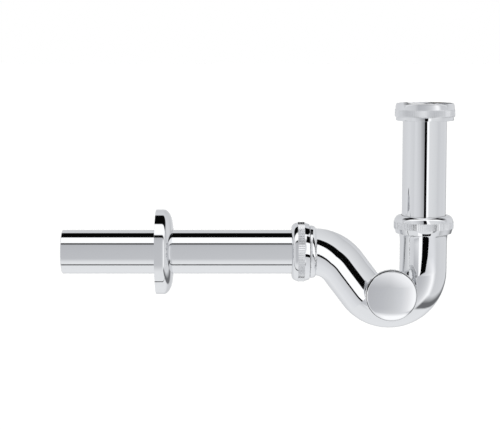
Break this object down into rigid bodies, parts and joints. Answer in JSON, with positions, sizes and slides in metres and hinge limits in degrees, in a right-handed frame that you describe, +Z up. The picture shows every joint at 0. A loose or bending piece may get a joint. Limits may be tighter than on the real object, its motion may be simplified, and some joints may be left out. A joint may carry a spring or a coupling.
{
  "type": "bidet trap",
  "caption": "Chrome-plated tube trap for a bidet: union nut and dip tube above a U bend with a cleaning cap, and a straight wall tube with its rosette.",
  "frame": {"origin": "on the dip tube's axis, in the plane where the bidet's waste seats on the union washer", "axes": "+Z up along the dip tube, -X along the wall tube towards the wall, -Y towards the cleaning cap"},
  "size_m": [0.2862, 0.062, 0.1649],
  "materials": {
    "chrome_plate": "polished",
    "rubber": "matte",
    "ring_plastic": "satin"
  },
  "bodies": {
    "trap": {"trap_bend": "chrome_plate"},
    "inlet_seal": {"inlet_seal_ring": "rubber"},
    "inlet_pipe": {"inlet_tube": "chrome_plate", "inlet_union_washer": "rubber"},
    "union_nut": {"inlet_union_nut": "chrome_plate"},
    "inlet_ring": {"inlet_slide_ring": "ring_plastic"},
    "inlet_nut": {"inlet_slip_nut": "chrome_plate"},
    "outlet_seal": {"outlet_seal_ring": "rubber"},
    "outlet_pipe": {"outlet_tube": "chrome_plate"},
    "rosette": {"wall_rosette": "chrome_plate"},
    "outlet_ring": {"outlet_slide_ring": "ring_plastic"},
    "outlet_nut": {"outlet_slip_nut": "chrome_plate"},
    "cap_seal": {"cleaning_cap_seal": "rubber"},
    "cap": {"cleaning_cap": "chrome_plate"}
  },
  "joints": [
    {"name": "inlet_swivel", "type": "hinge", "parent": "trap", "child": "inlet_seal", "pos_m": [0, 0, -0.0799], "axis": [0, 0, 1], "continuous": true},
    {"name": "inlet_height", "type": "slide", "parent": "inlet_seal", "child": "inlet_pipe", "axis": [0, 0, 1], "range_m": [-0.014, 0.01]},
    {"name": "union_nut_spin", "type": "hinge", "parent": "inlet_pipe", "child": "union_nut", "pos_m": [0, 0, 0], "axis": [0, 0, 1], "continuous": true},
    {"name": "inlet_nut_lift", "type": "slide", "parent": "trap", "child": "inlet_ring", "axis": [0, 0, 1], "range_m": [0, 0.009]},
    {"name": "inlet_nut_turn", "type": "hinge", "parent": "inlet_ring", "child": "inlet_nut", "pos_m": [0, 0, -0.0799], "axis": [0, 0, 1], "range_deg": [0, 2159]},
    {"name": "outlet_swivel", "type": "hinge", "parent": "trap", "child": "outlet_seal", "pos_m": [-0.0919, 0, -0.10229], "axis": [-1, 0, 0], "continuous": true},
    {"name": "outlet_reach", "type": "slide", "parent": "outlet_seal", "child": "outlet_pipe", "axis": [-1, 0, 0], "range_m": [-0.0025, 0.004]},
    {"name": "rosette_slide", "type": "slide", "parent": "outlet_pipe", "child": "rosette", "axis": [-1, 0, 0], "range_m": [-0.07, 0.06]},
    {"name": "outlet_nut_draw", "type": "slide", "parent": "trap", "child": "outlet_ring", "axis": [-1, 0, 0], "range_m": [0, 0.009]},
    {"name": "outlet_nut_turn", "type": "hinge", "parent": "outlet_ring", "child": "outlet_nut", "pos_m": [-0.0919, 0, -0.10229], "axis": [-1, 0, 0], "range_deg": [0, 2159]},
    {"name": "cap_draw", "type": "slide", "parent": "trap", "child": "cap_seal", "axis": [0, -1, 0], "range_m": [0, 0.009]},
    {"name": "cap_turn", "type": "hinge", "parent": "cap_seal", "child": "cap", "pos_m": [-0.025, -0.0218, -0.1312], "axis": [0, -1, 0], "range_deg": [0, 2159]}
  ],
  "couplings": [
    {"joint": "inlet_nut_lift", "follows": "inlet_nut_turn", "m_per_rad": 0.00023873},
    {"joint": "outlet_nut_draw", "follows": "outlet_nut_turn", "m_per_rad": 0.00023873},
    {"joint": "cap_draw", "follows": "cap_turn", "m_per_rad": 0.00023873}
  ]
}
